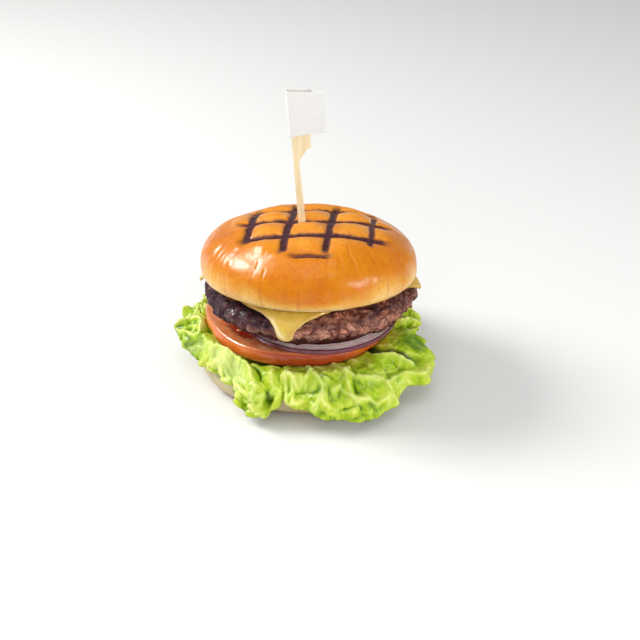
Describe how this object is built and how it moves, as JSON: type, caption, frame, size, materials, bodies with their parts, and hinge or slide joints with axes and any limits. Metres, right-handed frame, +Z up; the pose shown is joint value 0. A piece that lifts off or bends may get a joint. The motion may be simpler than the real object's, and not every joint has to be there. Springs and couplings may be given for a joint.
{
  "type": "burger",
  "caption": "Grilled beef burger in a brioche bun with cheese, onion, tomato and lettuce, pinned by a flat wooden pick with a blank paper flag.",
  "frame": {"origin": "middle of the footprint, on the table plane under the bun's heel", "axes": "+Z up along the stack, -Y towards the viewer, +X to the viewer's right"},
  "size_m": [0.1274, 0.1206, 0.1481],
  "materials": {
    "pale_crumb": "soft matt bread crust, paler at the foot",
    "lettuce": "moist crinkled leaf",
    "tomato": "wet cut flesh and skin",
    "red_onion": "moist, purple outer skin",
    "seared_beef": "seared, craggy, greasy in places",
    "melted_cheese": "soft, satin, melted",
    "glazed_crust": "egg-glazed crust with grill marks",
    "pale_wood": "planed bamboo",
    "white_paper": "blank matt paper"
  },
  "bodies": {
    "root": {"heel": "pale_crumb", "lettuce_left": "lettuce", "lettuce_front": "lettuce", "lettuce_right": "lettuce", "tomato_slice": "tomato", "onion_ring": "red_onion", "patty": "seared_beef", "cheese_slice": "melted_cheese", "crown": "glazed_crust", "paddle_pick": "pale_wood", "paper_flag": "white_paper"}
  },
  "joints": []
}
